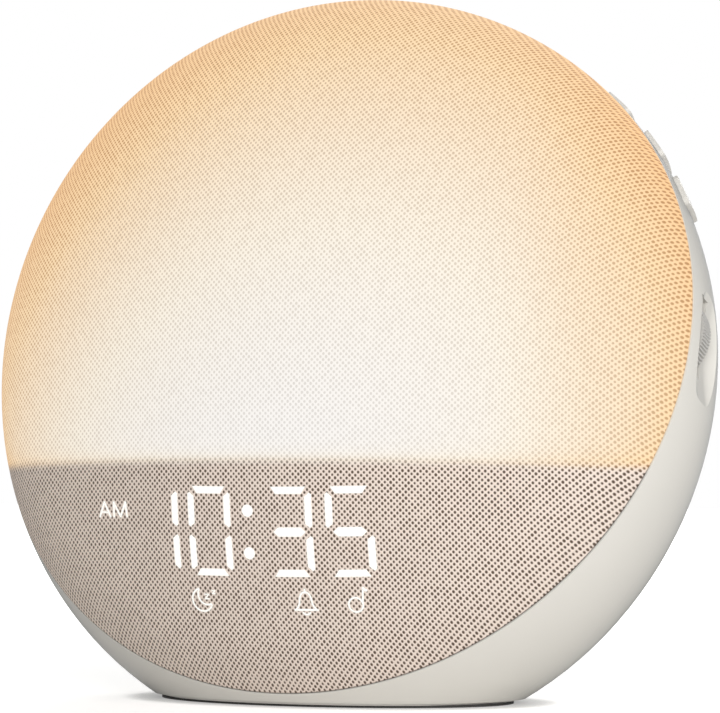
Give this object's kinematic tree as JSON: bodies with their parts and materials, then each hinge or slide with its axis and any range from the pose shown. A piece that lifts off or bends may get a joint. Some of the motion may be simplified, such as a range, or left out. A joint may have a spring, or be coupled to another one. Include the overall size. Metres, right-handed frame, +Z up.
{
  "type": "sunrise alarm clock",
  "caption": "Round lens-shaped bedside light and alarm clock: fabric-covered lit front with a digital display, rear shell with a finger wheel and push buttons on its rim, speaker behind.",
  "frame": {"origin": "middle of the foot on the table, under the middle of the body's overall box", "axes": "+Z up, +X to the right as seen from the front, the front looks along -Y"},
  "size_m": [0.1999, 0.1144, 0.1854],
  "materials": {
    "grey_plastic": "fine satin moulding",
    "button_plastic": "satin moulding",
    "base_plastic": "satin moulding",
    "wheel_plastic": "satin moulding with a knurled rim",
    "white_plastic": "satin moulding",
    "dark_plastic": "matt moulding",
    "black_plastic": "matt moulding",
    "opal_plastic": "opal diffusing plastic",
    "clear_plastic": "clear moulding",
    "speaker_fabric": "knitted mesh with small holes",
    "steel_screws": "zinc plated",
    "steel_shaft": "turned",
    "steel_basket": "black coated pressing",
    "cell_steel": "brushed",
    "white_board": "white solder mask",
    "green_board": "green solder mask",
    "led_chips": "phosphor filled package",
    "ribbon_film": "polyimide film",
    "ferrite": "ferrite with plated steel yoke",
    "paper_cone": "black pulp",
    "soft_rubber": "soft rubber",
    "foot_rubber": "soft rubber",
    "capacitor_sleeve": "shrink sleeve"
  },
  "bodies": {
    "clock": {"rear_shell": "grey_plastic", "front_frame": "white_plastic", "fabric_cover": "speaker_fabric", "diffuser_dome": "opal_plastic", "lower_panel": "dark_plastic", "light_baffle": "white_plastic", "led_tray": "white_plastic", "tray_screws": "steel_screws", "led_board": "white_board", "lamp_leds": "led_chips", "display_block": "dark_plastic", "digit_light_pipes": "clear_plastic", "indicator_windows": "clear_plastic", "display_board": "green_board", "display_leds": "led_chips", "display_screws": "steel_screws", "display_ribbon": "ribbon_film", "tact_switches": "black_plastic", "button_board": "green_board", "encoder_body": "black_plastic", "encoder_board": "green_board", "board_screws": "steel_screws", "speaker_frame": "steel_basket", "speaker_magnet": "ferrite", "speaker_cone": "paper_cone", "speaker_dust_cap": "paper_cone", "speaker_surround": "soft_rubber", "speaker_chamber": "black_plastic", "speaker_screws": "steel_screws", "base_plate": "base_plastic", "rubber_foot": "foot_rubber", "base_screws": "steel_screws", "main_board": "green_board", "main_board_screws": "steel_screws", "main_board_chips": "black_plastic", "main_board_capacitors": "capacitor_sleeve", "cell_holder": "black_plastic", "backup_cell": "cell_steel", "power_jack": "black_plastic"},
    "button_upper": {"button_upper": "button_plastic", "switch_plunger_upper": "white_plastic"},
    "button_middle": {"button_middle": "button_plastic", "switch_plunger_middle": "white_plastic"},
    "button_lower": {"button_lower": "button_plastic", "switch_plunger_lower": "white_plastic"},
    "wheel": {"thumbwheel": "wheel_plastic", "encoder_shaft": "steel_shaft"}
  },
  "joints": [
    {"name": "button_upper_press", "type": "slide", "parent": "clock", "child": "button_upper", "axis": [-0.6717, -0.2655, -0.6916], "range_m": [0, 0.0008], "stiffness_N_per_m": 400, "springref_m": -0.0015},
    {"name": "button_middle_press", "type": "slide", "parent": "clock", "child": "button_middle", "axis": [-0.7859, -0.2216, -0.5773], "range_m": [0, 0.0008], "stiffness_N_per_m": 400, "springref_m": -0.0015},
    {"name": "button_lower_press", "type": "slide", "parent": "clock", "child": "button_lower", "axis": [-0.8771, -0.1721, -0.4483], "range_m": [0, 0.0008], "stiffness_N_per_m": 400, "springref_m": -0.0015},
    {"name": "wheel_turn", "type": "hinge", "parent": "clock", "child": "wheel", "pos_m": [0.0879, 0.00373, 0.09322], "axis": [0, -0.9336, 0.3584], "continuous": true}
  ]
}
